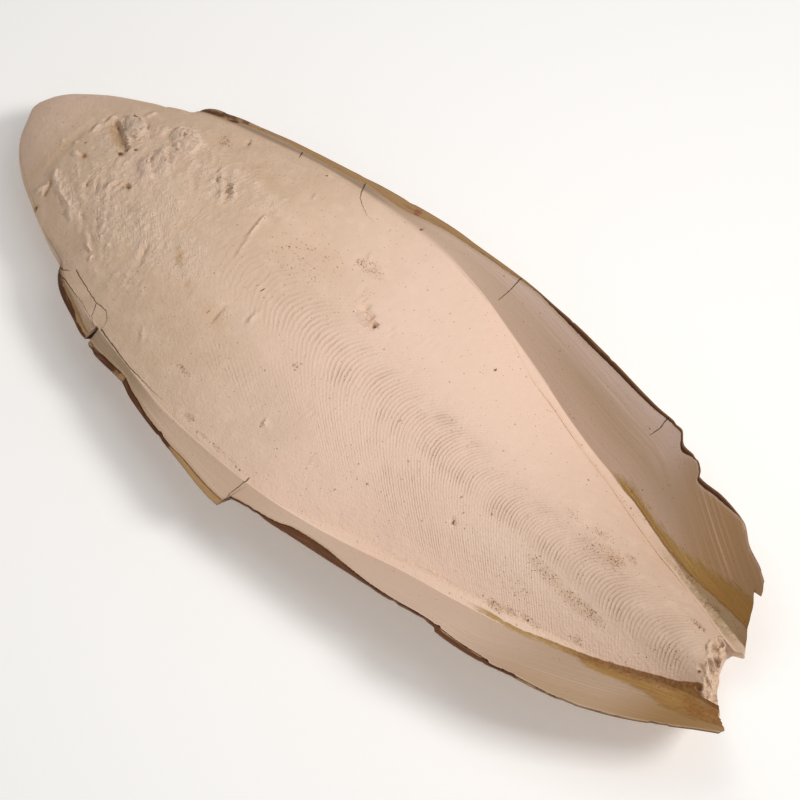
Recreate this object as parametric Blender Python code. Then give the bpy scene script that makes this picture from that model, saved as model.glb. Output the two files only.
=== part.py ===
"""Cuttlebone: the chalky inner shell of a cuttlefish, lying on its shield with the layered side up.

+X runs from the rounded nose to the broken tail, +Z is up from the table.
"""
import math

import bpy
import numpy as np

MM = 0.001
# the middle of the whole outline, which is the model's origin
ORIGIN_X = 0.1
ORIGIN_Y = -1.0

# where the rim runs on the far side (+Y), from nose to tail, in mm
FAR_RIM = [
    (-93.2, 2.6), (-92.0, 5.9), (-90.0, 8.6), (-88.0, 10.3), (-84.0, 13.2), (-76.0, 17.4),
    (-68.3, 21.2), (-67.9, 23.8), (-63.0, 26.1), (-56.0, 28.1), (-50.0, 29.6), (-40.0, 31.6),
    (-25.0, 34.3), (-10.0, 35.8), (4.0, 35.8), (16.0, 34.9), (28.0, 33.4), (42.0, 31.1),
    (49.5, 30.1), (52.0, 28.6), (56.5, 26.8), (59.0, 25.4), (64.0, 24.8), (70.0, 23.3),
    (74.0, 20.5), (78.0, 18.5), (80.2, 17.0), (84.0, 14.0), (94.0, 7.5),
]
# the same on the near side (-Y), as distances from the middle line
NEAR_RIM = [
    (-93.2, -0.4), (-92.0, 1.8), (-90.0, 5.4), (-88.0, 7.7), (-84.0, 10.9), (-76.0, 15.2),
    (-68.0, 18.7), (-62.4, 20.6), (-61.0, 22.6), (-58.0, 25.0), (-52.0, 27.4), (-46.2, 29.2),
    (-45.9, 26.3), (-45.6, 29.4), (-40.0, 30.7), (-35.0, 31.1), (-31.0, 32.5), (-16.0, 35.7),
    (-2.6, 37.8), (-1.9, 35.3), (10.0, 34.0), (22.0, 32.6), (34.0, 31.4), (43.6, 29.7),
    (44.8, 30.6), (53.0, 29.7), (60.0, 27.8), (68.0, 25.7), (78.0, 21.0), (86.0, 15.9),
    (93.4, 10.0),
]
MIDDLE_Y = [(-93.2, 1.4), (-90.0, 1.5), (-84.0, 1.0), (-68.0, 0.9), (-50.0, 0.2), (93.0, 0.2)]
# half width of the layered body, and of the fold outside it where the wings begin
BODY_HALF = [
    (-93.2, 9.0), (-80.0, 16.5), (-66.0, 21.6), (-58.0, 22.6), (-50.0, 24.4), (-40.0, 27.6),
    (-30.0, 29.4), (-20.0, 30.3), (-10.0, 30.5), (0.0, 29.5), (10.0, 27.2), (20.0, 23.7),
    (30.0, 20.4), (40.0, 17.6), (50.0, 14.9), (60.0, 12.2), (70.0, 9.3), (80.0, 6.4), (93.0, 3.0),
]
LEDGE_WIDTH = [
    (-93.2, 0.1), (-80.0, 0.3), (10.0, 0.5), (30.0, 1.9), (48.0, 2.6), (62.0, 1.9), (78.0, 1.0),
    (93.0, 0.6),
]
LEDGE_DROP = 0.5
RIM_MARGIN = 0.9
LINE_DEPTH = 0.15

# heights above the table: crest of the body, edge of the body, top of the rim
CREST_Z = [
    (-93.0, 9.6), (-88.0, 12.2), (-80.0, 14.6), (-66.0, 17.6), (-53.0, 19.0), (-40.0, 18.8),
    (-24.0, 17.2), (-5.0, 15.2), (18.0, 13.9), (43.0, 12.8), (70.0, 12.4), (93.0, 11.8),
]
EDGE_Z = [
    (-93.0, 9.2), (-67.0, 11.4), (-40.0, 12.2), (-12.0, 11.6), (0.0, 10.6), (10.0, 9.4),
    (20.0, 8.0), (30.0, 6.9), (40.0, 6.2), (52.0, 6.2), (66.0, 7.0), (80.0, 8.3), (93.0, 9.3),
]
RIM_Z = [
    (-93.0, 8.6), (-81.0, 9.5), (-67.0, 10.4), (-41.0, 11.5), (-8.0, 13.2), (13.0, 15.0),
    (27.0, 16.1), (45.0, 17.1), (60.0, 17.4), (80.0, 17.0), (93.0, 16.5),
]
RIM_THICK = [(-93.0, 3.4), (-66.0, 1.9), (-20.0, 1.6), (40.0, 1.3), (93.0, 1.2)]
# underside: middle line, and below the edge of the body
KEEL_Z = [
    (-93.0, 5.2), (-80.0, 3.3), (-66.0, 1.7), (-50.0, 0.6), (-35.0, -0.1), (-18.0, -0.5),
    (-4.0, -0.5), (14.0, -0.1), (30.0, 0.4), (45.0, 1.2), (60.0, 2.3), (75.0, 3.8), (93.0, 6.0),
]
UNDER_EDGE_Z = [
    (-93.0, 5.3), (-66.0, 6.0), (-40.0, 6.8), (-20.0, 7.0), (0.0, 7.0), (10.0, 6.3),
    (20.0, 5.3), (30.0, 4.6), (40.0, 4.1), (50.0, 4.1), (60.0, 4.5), (80.0, 5.9), (93.0, 7.2),
]
UNDER_SLOPE = 0.5

# the broken tail: place across the tail (0 near rim, 1 far rim) and how far it reaches
FAN_START_X = 62.0
TAIL_CUT = [
    (0.00, 93.4), (0.14, 92.1), (0.19, 90.8), (0.30, 89.8), (0.33, 89.0), (0.42, 87.2),
    (0.50, 85.2), (0.56, 84.3), (0.60, 83.2), (0.67, 82.2), (0.70, 82.8), (0.713, 86.2),
    (0.81, 84.6), (0.84, 83.6), (0.874, 82.8), (0.885, 79.8), (0.90, 79.8), (0.925, 83.0),
    (0.94, 81.4), (1.00, 80.4),
]
ZONE_SPAN = {"body": (0.0, 0.17), "ledge": (0.17, 0.03), "wing": (0.2, 0.3), "bowl": (0.0, 0.2)}
BREAK_LENGTH = 3.2
BREAK_THICK = 1.4
# scooped damage on the nose: x, y, half length, half width, depth, turn in degrees
GOUGES = [
    (-74.0, 6.6, 6.2, 2.6, 1.7, -26.0),
    (-71.8, 8.4, 2.6, 2.0, 0.9, 10.0),
    (-63.0, 6.2, 2.6, 1.6, 1.0, 40.0),
    (-61.6, 2.9, 2.2, 1.5, 0.9, 30.0),
    (-63.9, 14.6, 3.0, 2.2, 0.5, 0.0),
    (-7.8, 9.0, 1.8, 1.4, -0.7, 0.0),
    (-12.8, 11.4, 2.6, 1.0, 0.7, -50.0),
]

UPPER_OUTER = [
    (1.0, "wing"), (0.87, "wing"), (0.75, "wing"), (0.65, "wing"), (0.5, "wing"),
    (0.33, "wing"), (0.17, "wing"), (0.045, "wing"), (1.0, "ledge"),
]
UPPER_MIDDLE = 16
UNDER_OUTER = [(1.0, "wing"), (0.6, "wing"), (0.28, "wing")]
UNDER_MIDDLE = 9
ROW_STEP = 2.7
NOSE_ROWS = [-93.2, -92.8, -92.0, -91.0, -89.6, -88.0, -86.0, -84.0, -82.6]
STEP_ROWS = [
    -68.3, -67.9, -62.4, -61.0, -46.2, -45.9, -45.6, -35.0, -31.0, -2.6, -1.9,
    43.6, 44.8, 49.5, 52.0, 56.5, 59.0,
]
FAN_ROWS = 12


def smooth_curve(points):
    """A curve through the points that never overshoots them."""
    xs = np.array([p[0] for p in points])
    ys = np.array([p[1] for p in points])
    step = np.diff(xs)
    rise = np.diff(ys) / step
    slope = np.zeros(len(xs))
    for i in range(1, len(xs) - 1):
        if rise[i - 1] * rise[i] > 0.0:
            w0 = 2.0 * step[i] + step[i - 1]
            w1 = step[i] + 2.0 * step[i - 1]
            slope[i] = (w0 + w1) / (w0 / rise[i - 1] + w1 / rise[i])
    slope[0] = rise[0]
    slope[-1] = rise[-1]

    def value(x):
        x = np.clip(x, xs[0], xs[-1])
        i = np.clip(np.searchsorted(xs, x) - 1, 0, len(xs) - 2)
        t = (x - xs[i]) / step[i]
        near = (1.0 + 2.0 * t) * (1.0 - t) ** 2 * ys[i] + t * (1.0 - t) ** 2 * step[i] * slope[i]
        far = t * t * (3.0 - 2.0 * t) * ys[i + 1] - t * t * (1.0 - t) * step[i] * slope[i + 1]
        return near + far

    return value


far_rim = smooth_curve(FAR_RIM)
near_rim = smooth_curve(NEAR_RIM)
middle_y = smooth_curve(MIDDLE_Y)
body_half = smooth_curve(BODY_HALF)
ledge_width = smooth_curve(LEDGE_WIDTH)
crest_z = smooth_curve(CREST_Z)
edge_z = smooth_curve(EDGE_Z)
rim_z = smooth_curve(RIM_Z)
rim_thick = smooth_curve(RIM_THICK)
keel_z = smooth_curve(KEEL_Z)
under_edge_z = smooth_curve(UNDER_EDGE_Z)


def ramp(x, start, end):
    t = min(max((x - start) / (end - start), 0.0), 1.0)
    return t * t * (3.0 - 2.0 * t)


def rim_y(x, side):
    return float(far_rim(x)) if side > 0 else -float(near_rim(x))


def fold_y(x, side):
    """Where the wing begins, always a little inside the rim."""
    rim_half = abs(rim_y(x, side) - float(middle_y(x)))
    margin = min(RIM_MARGIN, 0.3 * rim_half)
    return float(middle_y(x)) + side * min(float(body_half(x) + ledge_width(x)), rim_half - margin)


def line_y(x, side):
    """Edge of the layered body, inside the fold."""
    return fold_y(x, side) - side * float(ledge_width(x))


def tail_cut(place):
    return float(np.interp(place, [c[0] for c in TAIL_CUT], [c[1] for c in TAIL_CUT]))


def place_across(side, across, zone):
    """Share of the way from the near rim to the far rim, as the tail break measures it."""
    start, length = ZONE_SPAN[zone]
    return 0.5 + side * (start + length * across)


def gouge_drop(x, y):
    total = 0.0
    for gx, gy, length, width, depth, turn in GOUGES:
        a = math.radians(turn)
        u = ((x - gx) * math.cos(a) + (y - gy) * math.sin(a)) / length
        v = ((y - gy) * math.cos(a) - (x - gx) * math.sin(a)) / width
        total += depth * max(0.0, 1.0 - u * u - v * v)
    return total


def upper_surface(x, side, across, zone):
    """Point of the upper side; across runs 0 to 1 outwards over the body, the ledge or the wing."""
    edge = float(edge_z(x))
    fold = fold_y(x, side)
    line = line_y(x, side)
    ledge = LEDGE_DROP * ramp(x, 0.0, 30.0)
    if zone == "wing":
        y = fold + (rim_y(x, side) - fold) * across
        flare = 0.6 * across + 0.4 * (1.0 - (1.0 - across) ** 2)
        return x, y, edge + (float(rim_z(x)) - edge) * flare
    if zone == "ledge":
        return x, line + (fold - line) * across, edge + ledge * (1.0 - across)
    y = float(middle_y(x)) + (line - float(middle_y(x))) * across
    z = edge + ledge + (float(crest_z(x)) - edge - ledge) * (1.0 - across ** 2.2)
    z -= LINE_DEPTH * ramp(x, 0.0, 30.0) * across ** 20
    z -= gouge_drop(x, y)
    cut = tail_cut(place_across(side, across, "body"))
    low = under_surface(x, side, across, "bowl")[2] + BREAK_THICK
    return x, y, z + (min(low, z) - z) * ramp(x, cut - BREAK_LENGTH, cut)


def under_surface(x, side, across, zone):
    """Point of the underside, one smooth bowl from the middle line to the rim, worn flat below."""
    inner = fold_y(x, side)
    outer = rim_y(x, side)
    middle = float(middle_y(x))
    bend = float(under_edge_z(x))
    if zone == "wing":
        top = float(rim_z(x)) - float(rim_thick(x))
        y = inner + (outer - inner) * across
        start, end, first, last = bend, top, UNDER_SLOPE * abs(outer - inner), 0.35 * (top - bend)
    else:
        y = middle + (inner - middle) * across
        start, end, first, last = float(keel_z(x)), bend, 0.0, UNDER_SLOPE * abs(inner - middle)
    t = across
    z = (1.0 + 2.0 * t) * (1.0 - t) ** 2 * start + t * (1.0 - t) ** 2 * first
    z += t * t * (3.0 - 2.0 * t) * end - t * t * (1.0 - t) * last
    return x, y, max(z, 0.0)


def columns(inner, outer, count):
    """Places across a row, from the near rim to the far rim: side, across, zone."""
    middle = np.linspace(-1.0, 1.0, count + 1)
    places = [(-1, across, zone) for across, zone in outer]
    places += [(-1 if m < 0 else 1, abs(float(m)), inner) for m in middle]
    places += [(1, across, zone) for across, zone in reversed(outer)]
    return places


def straight_rows():
    """Where the straight rows lie: close at the nose, in its scars and at every step of the rim."""
    fixed = NOSE_ROWS + STEP_ROWS
    rows = list(fixed)
    for x in list(np.arange(-81.2, -58.5, 1.5)) + list(np.arange(-57.0, FAN_START_X, ROW_STEP)):
        if min(abs(x - s) for s in fixed) > 0.7:
            rows.append(float(x))
    return sorted(rows)


def build_grid(places, surface):
    """Straight rows from the nose, then rows that fan out to the broken tail."""
    grid = []
    for x in straight_rows():
        grid.append([surface(x, side, t, zone) for side, t, zone in places])
    for k in range(FAN_ROWS):
        share = math.sin(math.pi / 2.0 * (k + 1) / FAN_ROWS)
        row = []
        for side, t, zone in places:
            reach = tail_cut(place_across(side, t, zone)) - FAN_START_X
            row.append(surface(FAN_START_X + reach * share, side, t, zone))
        grid.append(row)
    return grid


def add_points(points, grid):
    start = len(points)
    width = len(grid[0])
    for row in grid:
        points += [((x - ORIGIN_X) * MM, (y - ORIGIN_Y) * MM, z * MM) for x, y, z in row]
    return [[start + r * width + c for c in range(width)] for r in range(len(grid))]


def join_ends(faces, top, under, flip):
    """Close the gap between the end rows of the two skins, which differ in point count."""
    i = 0
    j = 0
    last_i = len(top) - 1
    last_j = len(under) - 1
    while i < last_i or j < last_j:
        top_is_next = (i + 1) * last_j <= (j + 1) * last_i
        if j == last_j or (i < last_i and top_is_next):
            face = (top[i], top[i + 1], under[j])
            i += 1
        else:
            face = (top[i], under[j + 1], under[j])
            j += 1
        faces.append(face[::-1] if flip else face)


def build_solid():
    top_grid = build_grid(columns("body", UPPER_OUTER, UPPER_MIDDLE), upper_surface)
    under_grid = build_grid(columns("bowl", UNDER_OUTER, UNDER_MIDDLE), under_surface)
    points = []
    top = add_points(points, top_grid)
    under = add_points(points, under_grid)
    faces = []
    for r in range(len(top) - 1):
        for c in range(len(top[0]) - 1):
            faces.append((top[r][c], top[r + 1][c], top[r + 1][c + 1], top[r][c + 1]))
        for c in range(len(under[0]) - 1):
            faces.append((under[r][c], under[r][c + 1], under[r + 1][c + 1], under[r + 1][c]))
        faces.append((top[r + 1][0], top[r][0], under[r][0], under[r + 1][0]))
        faces.append((top[r][-1], top[r + 1][-1], under[r + 1][-1], under[r][-1]))
    join_ends(faces, top[0], under[0], False)
    join_ends(faces, top[-1], under[-1], True)
    return points, faces


def make_material():
    material = bpy.data.materials.new("bone")
    material.use_nodes = True
    shader = material.node_tree.nodes["Principled BSDF"]
    shader.inputs["Base Color"].default_value = (0.72, 0.55, 0.43, 1.0)
    shader.inputs["Roughness"].default_value = 0.8
    return material


for old in list(bpy.data.objects):
    bpy.data.objects.remove(old, do_unlink=True)

solid_points, solid_faces = build_solid()
mesh = bpy.data.meshes.new("cuttlebone")
mesh.from_pydata(solid_points, [], solid_faces)
mesh.update()
cuttlebone = bpy.data.objects.new("cuttlebone", mesh)
bpy.context.scene.collection.objects.link(cuttlebone)
mesh.materials.append(make_material())
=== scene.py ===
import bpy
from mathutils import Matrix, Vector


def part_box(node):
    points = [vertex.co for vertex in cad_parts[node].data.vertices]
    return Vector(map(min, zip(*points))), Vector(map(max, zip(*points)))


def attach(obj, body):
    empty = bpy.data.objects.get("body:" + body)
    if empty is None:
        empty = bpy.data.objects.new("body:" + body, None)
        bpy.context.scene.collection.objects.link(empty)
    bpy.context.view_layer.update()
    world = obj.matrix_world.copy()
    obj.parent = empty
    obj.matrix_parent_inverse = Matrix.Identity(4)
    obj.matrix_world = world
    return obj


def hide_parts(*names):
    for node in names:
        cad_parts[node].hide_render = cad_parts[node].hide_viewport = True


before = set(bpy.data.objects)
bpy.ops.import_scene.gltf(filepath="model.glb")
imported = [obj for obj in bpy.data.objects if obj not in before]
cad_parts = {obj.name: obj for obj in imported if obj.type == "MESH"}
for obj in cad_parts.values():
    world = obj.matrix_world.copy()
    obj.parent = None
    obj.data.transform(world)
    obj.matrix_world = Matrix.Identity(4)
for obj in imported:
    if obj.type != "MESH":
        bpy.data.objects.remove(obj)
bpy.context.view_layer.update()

import math
from types import SimpleNamespace
import bpy
import numpy as np
from mathutils import Matrix, Vector

mm = 0.001
low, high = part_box("cuttlebone")
# every curve below is in mm, from a point near the middle of the bone, and -x is the nose
shiftX, shiftY = 0.1, -1.0
originX = shiftX - 0.5 * (low.x + high.x) / mm
originY = shiftY - 0.5 * (low.y + high.y) / mm
tableZ = low.z / mm
noseX = -93.2
print("cuttlebone: frame loaded,", len(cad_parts), "solid")


def curve(points):
    # runs through the points and never overshoots them
    xs, ys = np.array(list(points.items()), float).T
    step = np.diff(xs)
    rise = np.diff(ys) / step
    slope = np.zeros(len(xs))
    before, after = rise[:-1], rise[1:]
    w0 = 2 * step[1:] + step[:-1]
    w1 = step[1:] + 2 * step[:-1]
    same = before * after > 0
    slope[1:-1][same] = ((w0 + w1)[same]
                         / (w0[same] / before[same] + w1[same] / after[same]))
    slope[0], slope[-1] = rise[0], rise[-1]

    def value(x):
        x = np.clip(x, xs[0], xs[-1])
        i = np.clip(np.searchsorted(xs, x) - 1, 0, len(xs) - 2)
        t = (x - xs[i]) / step[i]
        return between(t, ys[i], ys[i + 1], step[i] * slope[i], step[i] * slope[i + 1])

    return value


def between(t, start, end, leaving, arriving):
    # from start to end as t goes from 0 to 1, with a slope at each end
    total = (1 + 2 * t) * (1 - t) ** 2 * start + t * (1 - t) ** 2 * leaving
    return total + t * t * (3 - 2 * t) * end - t * t * (1 - t) * arriving


def bothSides(table, part):
    # 1 is the far side and -1 the near one
    return {1: curve(table["far" + part]), -1: curve(table["near" + part])}


def ramp(x, start, end):
    t = np.clip((x - start) / (end - start), 0, 1)
    return t * t * (3 - 2 * t)


def hump(x, middle, half):
    return 1 - ramp(np.abs(x - middle), 0, half)


class Grain:
    # smooth seeded noise from -1 to 1 over a plan, finer with every octave
    def __init__(self, seed):
        self.table = np.random.default_rng(seed).uniform(-1, 1, (256, 256))

    def at(self, x, y, size, octaves=1):
        total, weight, share = 0, 1, 0
        for k in range(octaves):
            u, v = x / size + 17.3 * k, y / size + 31.7 * k
            i, j = np.floor(u).astype(int), np.floor(v).astype(int)
            a, b = ramp(u - i, 0, 1), ramp(v - j, 0, 1)
            near, far = (self.table[i % 256, row % 256] * (1 - a)
                         + self.table[(i + 1) % 256, row % 256] * a for row in (j, j + 1))
            total = total + weight * (near * (1 - b) + far * b)
            share += weight
            size, weight = size * 0.5, weight * 0.5
        return total / share

    def streaks(self, x, y, angle, length, width, octaves=1):
        # the same noise drawn out along a direction, given in degrees
        along, across = turned(x, y, angle)
        return self.at(along * width / length, across, width, octaves)


def turned(u, v, turn):
    c, s = math.cos(math.radians(turn)), math.sin(math.radians(turn))
    return u * c + v * s, v * c - u * s


# the outline, the folds where the wings start, and the ledges inside them, as station: mm
outline = {
    "farRim": {
        -93.2: 2.6, -92: 5.9, -90: 8.6, -88: 10.3, -84: 13.2, -76: 17.4, -68.3: 21.2, -67.9: 23.8,
        -63: 26.1, -56: 28.1, -50: 29.6, -40: 31.6, -25: 34.3, -10: 35.8, 4: 35.8, 16: 34.9, 28: 33.4,
        42: 31.1, 49.5: 30.1, 51.6: 28.3, 55: 27.5, 57.4: 26.2, 57.9: 25.4, 64: 24.8, 70: 23.3,
        74: 20.5, 78: 18.5, 80.2: 17, 84: 14, 94: 7.5},
    "nearRim": {
        -93.2: -0.4, -92: 1.8, -90: 5.4, -88: 7.7, -84: 10.9, -76: 15.2, -68: 18.7, -62.4: 20.6,
        -61: 22.6, -58: 25, -52: 27.4, -46.6: 29.1, -46.25: 26.3, -45.6: 26.5, -45.3: 29.5, -40: 30.7,
        -35: 31.1, -31: 32.5, -16: 35.7, -2.6: 37.8, -1.9: 35.3, 10: 34, 22: 32.6, 34: 31.4,
        43.6: 29.7, 44.8: 30.6, 53: 29.7, 60: 27.8, 68: 25.7, 78: 21, 86: 15.9, 93.4: 10},
    "middle": {-93.2: 1.4, -90: 1.5, -84: 1, -68: 0.9, -50: 0.2, 93: 0.2},
    "farFold": {
        -93.2: 2.3, -92: 5.5, -90: 8.2, -88: 9.9, -84: 12.8, -76: 17, -68.3: 20.8, -66: 21.9,
        -60: 23.7, -55: 24.8, -50: 26, -45: 27.3, -40: 28.3, -35: 29, -30: 29.5, -20: 30.2, -10: 30.3,
        0: 29.5, 10: 27.3, 20: 24.9, 30: 22.1, 40: 19.8, 45: 18.9, 50: 17.6, 60: 14.5, 65: 12.9,
        70: 11.5, 75: 10.5, 80: 9.3, 93: 6},
    "nearFold": {
        -93.2: -0.8, -92: 1.4, -90: 5, -88: 7.3, -84: 10.5, -76: 14.8, -68: 18.3, -62.4: 20.3,
        -58: 22.9, -52: 24.6, -48.6: 25.8, -45: 26.4, -40: 27.4, -35: 28.4, -30: 29.2, -25: 30,
        -20: 30.3, -10: 30.4, 0: 29.8, 10: 27.9, 20: 25, 25: 23.3, 30: 21.8, 40: 19.4, 50: 17,
        60: 13.7, 70: 10.1, 80: 6.3, 93: 3.4},
    "farLedge": {
        -93.2: 0.1, 0: 0.15, 10: 0.6, 20: 2, 27: 1.6, 40: 1.8, 50: 2.3, 60: 2.1, 66: 1.6, 70: 1.6,
        80: 2.3, 93: 2},
    "nearLedge": {
        -93.2: 0.1, 0: 0.15, 10: 0.9, 15: 2.1, 20: 2.4, 27: 1.9, 35: 2.3, 50: 2.5, 60: 1.7, 70: 0.8,
        93: 0.4},
}
height = {
    "crest": {
        -93: 9.6, -88: 12.2, -80: 14.6, -66: 17.6, -53: 19, -40: 18.8, -24: 17.2, -5: 15.2, 18: 13.9,
        43: 12.8, 70: 12.4, 93: 11.8},
    "edge": {
        -93: 9.2, -67: 11.4, -40: 12.2, -12: 11.6, 0: 10.6, 10: 9.4, 20: 8, 30: 6.9, 40: 6.2, 52: 6.2,
        66: 7, 80: 8.3, 93: 9.3},
    "rim": {
        -93: 8.6, -81: 9.5, -67: 10.4, -41: 11.5, -8: 13.2, 13: 15, 27: 16.1, 45: 17.1, 60: 17.4,
        80: 17, 93: 16.5},
    "rimThick": {-93: 2.4, -80: 1.7, -66: 1.2, -20: 1, 40: 0.9, 93: 0.9},
    "keel": {
        -93: 5.2, -80: 3.3, -66: 1.7, -50: 0.6, -35: -0.1, -18: -0.5, -4: -0.5, 14: -0.1, 30: 0.4,
        45: 1.2, 60: 2.3, 75: 3.8, 93: 6},
    "underEdge": {
        -93: 5.3, -66: 6, -40: 6.8, -20: 7, 0: 7, 10: 6.3, 20: 5.3, 30: 4.6, 40: 4.1, 50: 4.1, 60: 4.5,
        80: 5.9, 93: 7.2},
    "underSlope": 0.5,
    "ledgeDrop": 0.5,
    "lineDepth": 0.1,
}
# the broken tail: where it ends, from the near rim at 0 to the far rim at 1
tail = {
    "fanStart": 62, "nearEnd": 93.4, "farEnd": 80.4,
    "cut": {
        0: 93.3, 0.07: 93.4, 0.11: 93.1, 0.144: 92.4, 0.18: 91.8, 0.215: 91.2, 0.24: 90.2, 0.3: 89.3,
        0.33: 88.6, 0.42: 86.8, 0.48: 85.5, 0.53: 84.6, 0.556: 83.6, 0.597: 82.9, 0.626: 82.5,
        0.655: 82.9, 0.67: 83.7, 0.677: 84.4, 0.685: 85, 0.695: 84.9, 0.705: 84.3, 0.73: 84.1,
        0.763: 83.2, 0.783: 82.7, 0.826: 82.3, 0.849: 82, 0.873: 81.4, 0.893: 80.5, 0.917: 79.4,
        0.943: 82.3, 0.968: 80.9, 1: 80.6},
    "breakLength": 3.4, "lip": 1.4,
    # how far the ends wander there, how close their crumbs are, and how far all are drawn in
    "ragged": 0.35, "crumbs": 48, "drawnIn": 0.25,
}
zoneSpan = {"body": (0, 0.17), "ledge": (0.17, 0.03), "wing": (0.2, 0.3), "bowl": (0, 0.2)}

middleY = curve(outline["middle"])
rimOut, foldOut, ledgeWidth = (bothSides(outline, part) for part in ("Rim", "Fold", "Ledge"))
crestZ, edgeZ, rimZ, rimThick, keelZ, underEdgeZ = (
    curve(height[part]) for part in ("crest", "edge", "rim", "rimThick", "keel", "underEdge"))


def rimY(x, side):
    return side * rimOut[side](x)


def foldY(x, side):
    return side * foldOut[side](x)


def lineY(x, side):
    return side * (foldOut[side](x) - ledgeWidth[side](x))


def evenWidth(side):
    # how wide a wing would be without the steps in its rim
    reach, apart, least = 9, 0.5, 0.4
    stations = np.arange(noseX, 96, apart)
    share = np.arange(-reach, reach + 0.1, apart)[:, None] / reach
    weight = (1 - share ** 2) ** 2
    width = (np.abs(rimY(stations + share * reach, side)) * weight).sum(0) / weight.sum()
    width -= np.abs(foldY(stations, side))
    return lambda x: np.maximum(np.interp(x, stations, width), least)


wingWidth = {1: evenWidth(1), -1: evenWidth(-1)}


def evenShare(x, y, side, w):
    # the place across a wing by its smooth width, so that steps in the rim leave no crease
    even = np.clip(side * (y - foldY(x, side)) / wingWidth[side](x), 0, 1.08)
    return w + (even - w) * ramp(x, 2, 12)


def placeAcross(side, across, zone):
    start, length = zoneSpan[zone]
    return 0.5 + side * (start + length * across)


def tailReach(place):
    return np.interp(place, list(tail["cut"]), list(tail["cut"].values()))


# the brown outer layer that shows along the rim
rimBand = {
    # how much of it shows, in mm from the rim, along each side
    "farWidth": {
        -93.2: 0, -69: 0, -67.8: 2.7, -61.5: 2.6, -58.5: 1.5, -50: 1.3, -45: 1.6, -35.5: 1.8, -32: 1.5,
        -26.8: 2.1, -22.6: 2.4, -18: 1.9, -10: 1.3, -2.6: 0.9, 4.5: 0.7, 9.6: 0.4, 16: 0.75, 24.5: 1,
        36: 0.9, 45.6: 0.6, 49.5: 0.5, 52: 0.9, 56: 0.3, 59: 0.8, 64: 0.8, 67: 0.5, 70: 0.15, 94: 0.1},
    "nearWidth": {
        -93.2: 0, -63: 0, -61: 1.2, -56: 1.8, -47: 1.1, -45: 0.6, -40: 1, -30: 1, -25: 0.6, -18: 0.6,
        -14: 1, -6.8: 1.3, -2.6: 1.4, -1.6: 0.25, 3.5: 0.25, 4.5: 0.5, 6: 0.8, 8: 1.3, 10: 2.5,
        12: 2.8, 15: 2.9, 18: 2.7, 21: 2.1, 25: 1.4, 30: 0.9, 43.4: 0.7, 44.3: 1.7, 50: 1.7, 55: 1.4,
        56: 0.5, 62: 0.4, 74: 0.15, 93.4: 0.12},
    # 0 where it is amber, 1 where it is dark brown
    "farTone": {
        -93: 0.5, -68: 0.62, -58: 0.45, -52: 0.15, -30: 0.05, 5: 0.1, 12: 0.75, 16: 1, 62: 1, 70: 0.5,
        94: 0.2},
    "nearTone": {
        -93: 0.7, -62: 0.9, -50: 0.45, -46: 0.5, -44: 0.9, -38: 0.75, -35: 0.35, -33: 0.8, -28: 1,
        -19: 0.9, -16: 0.2, -3: 0, -1.6: 0.9, 6: 1, 56: 1, 62: 0.5, 94: 0.4},
    "step": 0.3,
}
bandWidth, bandTone = (bothSides(rimBand, part) for part in ("Width", "Tone"))

# the stained strip along each fold: from and to, in mm outside the fold
strip = {
    "farFrom": {40: 0.3, 46: -0.3, 51: 0.1, 58: 0, 65: 0.4, 70: 0.9, 75: 1.3, 82: 1.7, 94: 1.6},
    "farTo": {
        40: 0.2, 44: 0.7, 48: 1.2, 53: 1.3, 58: 1.4, 62: 1.8, 66: 2.7, 70.5: 3.7, 76.4: 4.6, 82: 5,
        94: 5},
    "nearFrom": {
        40: -1, 45: -1.1, 51: -0.7, 57: -0.8, 66: -0.6, 70: -0.8, 74: -0.9, 79.4: -1.2, 84.4: -2.4,
        93: -2.6},
    "nearTo": {
        40: -0.6, 46.8: -0.4, 52: 0.2, 57.6: 0.1, 62.7: 0.8, 67: 2.6, 71.6: 3.2, 77: 4.3, 82.7: 6.2,
        87: 5.9, 93: 4.4},
}
stripFrom, stripTo = (bothSides(strip, part) for part in ("From", "To"))

# the growth layers, which end on the body as nested arcs
growth = {
    "apexY": {-93: 0.6, -45: 0.4, 0: -0.4, 20: -0.9, 45: -1.4, 88: -1.8},
    "radius": {-93: 8.5, -45: 8, -20: 6, 0: 7, 20: 5.4, 45: 3.6, 60: 3.4, 75: 4, 90: 4},
    "slope": {-93: 3, -45: 3, 0: 2.5, 25: 1.7, 50: 1.35, 70: 1.5, 90: 1.6},
    "period": {
        -93: 1.3, -30: 1.25, -22: 1.1, -10: 1, 0: 0.86, 12: 0.76, 25: 0.69, 42: 0.66, 50: 0.77,
        62: 0.83, 75: 0.82, 90: 0.8},
}


def layerCount(x, y):
    # how many growth layers lie between the nose and the arc through a point
    apex, radius, slope, period = (
        curve(growth[part]) for part in ("apexY", "radius", "slope", "period"))
    start = x
    for _ in range(3):
        off = y - apex(start)
        b = radius(start) * slope(start)
        start = 0.4 * start + 0.6 * (x - slope(start) * b * (np.sqrt(1 + (off / b) ** 2) - 1))
    stations = np.linspace(-140, 95, 2400)
    count = np.cumsum((stations[1] - stations[0]) / period(stations))
    return np.interp(start, stations, count), off


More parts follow.
